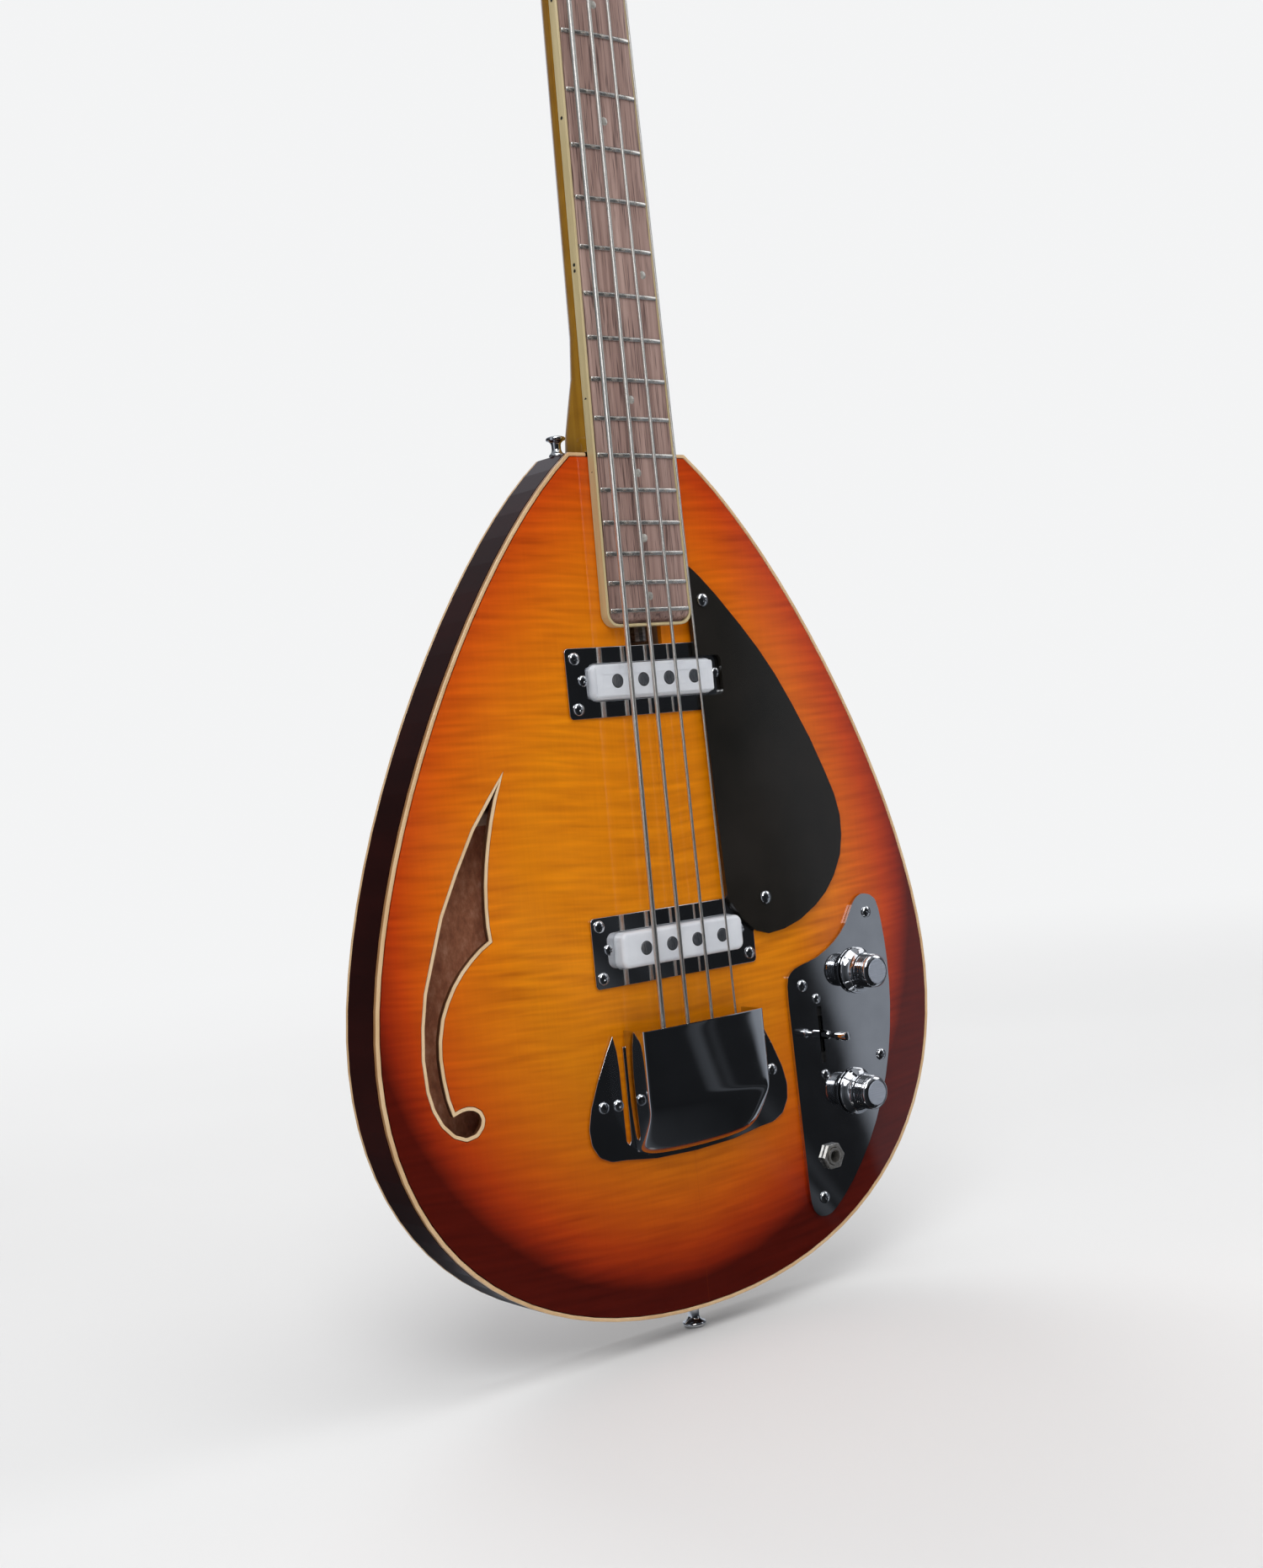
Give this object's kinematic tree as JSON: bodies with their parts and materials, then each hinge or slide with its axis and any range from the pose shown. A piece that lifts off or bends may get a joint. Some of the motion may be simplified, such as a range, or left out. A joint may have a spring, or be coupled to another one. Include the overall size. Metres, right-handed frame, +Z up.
{
  "type": "electric bass guitar",
  "caption": "Teardrop semi-hollow electric bass guitar with sunburst maple top, bound f-hole, white pickups on chrome plates, covered bridge and chrome control plate.",
  "frame": {"origin": "lowest point of the body's outline, on the centre line, halfway through the body's thickness, where the tail strap button stands", "axes": "+Z up along the neck, from the tail to the headstock; -Y out of the front, towards the player's strings; +X towards the treble side, where the controls are"},
  "size_m": [0.354, 0.05, 1.1051],
  "materials": {
    "binding": "satin cream",
    "brace_wood": "raw",
    "burgundy_lacquer": "gloss lacquer",
    "chrome": "polished",
    "nickel": "satin",
    "pickup_white": "satin",
    "coil_dark": "satin",
    "block_wood": "raw",
    "rosewood": "oiled",
    "maple": "gloss lacquer",
    "sunburst_maple": "gloss lacquer",
    "black_plastic": "gloss",
    "nut_plastic": "satin",
    "plated_steel": "satin",
    "rod_steel": "plain",
    "loom_sleeve": "matt"
  },
  "bodies": {
    "body": {"back_binding": "binding", "back_brace": "brace_wood", "back_plate": "burgundy_lacquer", "bridge_pickup_plate": "chrome", "bridge_plate": "chrome", "centre_block": "block_wood", "control_plate": "chrome", "f_hole_binding": "binding", "fingerboard": "rosewood", "fingerboard_binding": "binding", "front_binding": "binding", "jack_nut": "nickel", "neck": "maple", "neck_pickup_plate": "chrome", "output_jack": "nickel", "pickguard": "black_plastic", "pickguard_screw_1": "chrome", "pickguard_screw_2": "chrome", "pot_body_1": "plated_steel", "pot_body_2": "plated_steel", "rim": "burgundy_lacquer", "string_a": "nickel", "string_d": "nickel", "string_e": "nickel", "string_g": "nickel", "string_nut": "nut_plastic", "string_retainer": "chrome", "switch_body": "black_plastic", "tail_strap_button": "chrome", "top_plate": "sunburst_maple", "top_strap_button": "chrome", "truss_rod": "rod_steel", "tuner_plate_1": "chrome", "tuner_plate_2": "chrome", "tuner_plate_3": "chrome", "tuner_plate_4": "chrome", "wiring_loom": "loom_sleeve"},
    "tuner_post_body_1": {"tuner_post_1": "chrome"},
    "tuner_key_body_1": {"tuner_key_1": "chrome"},
    "tuner_post_body_2": {"tuner_post_2": "chrome"},
    "tuner_key_body_2": {"tuner_key_2": "chrome"},
    "tuner_post_body_3": {"tuner_post_3": "chrome"},
    "tuner_key_body_3": {"tuner_key_3": "chrome"},
    "tuner_post_body_4": {"tuner_post_4": "chrome"},
    "tuner_key_body_4": {"tuner_key_4": "chrome"},
    "knob_body_1": {"knob_1": "chrome", "pot_shaft_1": "nickel"},
    "knob_body_2": {"knob_2": "chrome", "pot_shaft_2": "nickel"},
    "lever_body": {"switch_lever": "chrome"},
    "truss_nut_body": {"truss_rod_nut": "nickel"},
    "bridge_cover_body": {"bridge_cover": "chrome"},
    "saddle_body_e": {"saddle_e": "chrome"},
    "saddle_body_a": {"saddle_a": "chrome"},
    "saddle_body_d": {"saddle_d": "chrome"},
    "saddle_body_g": {"saddle_g": "chrome"},
    "neck_pickup_body": {"neck_pickup_cover": "pickup_white", "neck_pickup_core": "coil_dark"},
    "bridge_pickup_body": {"bridge_pickup_cover": "pickup_white", "bridge_pickup_core": "coil_dark"}
  },
  "joints": [
    {"name": "tuner_key_turn_1", "type": "hinge", "parent": "body", "child": "tuner_key_body_1", "pos_m": [-0.02, 0.0086, 0.94759], "axis": [1, 0, 0], "continuous": true},
    {"name": "tuner_post_turn_1", "type": "hinge", "parent": "body", "child": "tuner_post_body_1", "pos_m": [-0.02, 0.0056, 0.935], "axis": [0, 1, 0], "continuous": true},
    {"name": "tuner_key_turn_2", "type": "hinge", "parent": "body", "child": "tuner_key_body_2", "pos_m": [-0.014, 0.0086, 0.98559], "axis": [1, 0, 0], "continuous": true},
    {"name": "tuner_post_turn_2", "type": "hinge", "parent": "body", "child": "tuner_post_body_2", "pos_m": [-0.014, 0.0056, 0.973], "axis": [0, 1, 0], "continuous": true},
    {"name": "tuner_key_turn_3", "type": "hinge", "parent": "body", "child": "tuner_key_body_3", "pos_m": [-0.008, 0.0086, 1.02359], "axis": [1, 0, 0], "continuous": true},
    {"name": "tuner_post_turn_3", "type": "hinge", "parent": "body", "child": "tuner_post_body_3", "pos_m": [-0.008, 0.0056, 1.011], "axis": [0, 1, 0], "continuous": true},
    {"name": "tuner_key_turn_4", "type": "hinge", "parent": "body", "child": "tuner_key_body_4", "pos_m": [-0.002, 0.0086, 1.06159], "axis": [1, 0, 0], "continuous": true},
    {"name": "tuner_post_turn_4", "type": "hinge", "parent": "body", "child": "tuner_post_body_4", "pos_m": [-0.002, 0.0056, 1.049], "axis": [0, 1, 0], "continuous": true},
    {"name": "knob_turn_1", "type": "hinge", "parent": "body", "child": "knob_body_1", "pos_m": [0.121, -0.0158, 0.1535], "axis": [0, -1, 0], "range_deg": [-150, 150]},
    {"name": "knob_turn_2", "type": "hinge", "parent": "body", "child": "knob_body_2", "pos_m": [0.1125, -0.0158, 0.0895], "axis": [0, -1, 0], "range_deg": [-150, 150]},
    {"name": "switch_throw", "type": "hinge", "parent": "body", "child": "lever_body", "pos_m": [0.092, -0.006, 0.1233], "axis": [1, 0, 0], "range_deg": [-20, 20]},
    {"name": "truss_nut_turn", "type": "hinge", "parent": "body", "child": "truss_nut_body", "pos_m": [0, -0.0082, 0.3375], "axis": [0, 0, 1], "range_deg": [-180, 180]},
    {"name": "bridge_cover_lift", "type": "slide", "parent": "body", "child": "bridge_cover_body", "axis": [0, -1, 0], "range_m": [0, 0.03]},
    {"name": "saddle_shift_e", "type": "slide", "parent": "body", "child": "saddle_body_e", "axis": [0, 0, 1], "range_m": [0, 0.004]},
    {"name": "saddle_shift_a", "type": "slide", "parent": "body", "child": "saddle_body_a", "axis": [0, 0, 1], "range_m": [0, 0.004]},
    {"name": "saddle_shift_d", "type": "slide", "parent": "body", "child": "saddle_body_d", "axis": [0, 0, 1], "range_m": [0, 0.004]},
    {"name": "saddle_shift_g", "type": "slide", "parent": "body", "child": "saddle_body_g", "axis": [0, 0, 1], "range_m": [0, 0.004]},
    {"name": "neck_pickup_height", "type": "slide", "parent": "body", "child": "neck_pickup_body", "axis": [0, -1, 0], "range_m": [-0.002, 0.002]},
    {"name": "bridge_pickup_height", "type": "slide", "parent": "body", "child": "bridge_pickup_body", "axis": [0, -1, 0], "range_m": [-0.002, 0.002]}
  ],
  "couplings": [
    {"joint": "tuner_post_turn_1", "follows": "tuner_key_turn_1", "ratio": 0.083333},
    {"joint": "tuner_post_turn_2", "follows": "tuner_key_turn_2", "ratio": 0.083333},
    {"joint": "tuner_post_turn_3", "follows": "tuner_key_turn_3", "ratio": 0.083333},
    {"joint": "tuner_post_turn_4", "follows": "tuner_key_turn_4", "ratio": 0.083333}
  ]
}
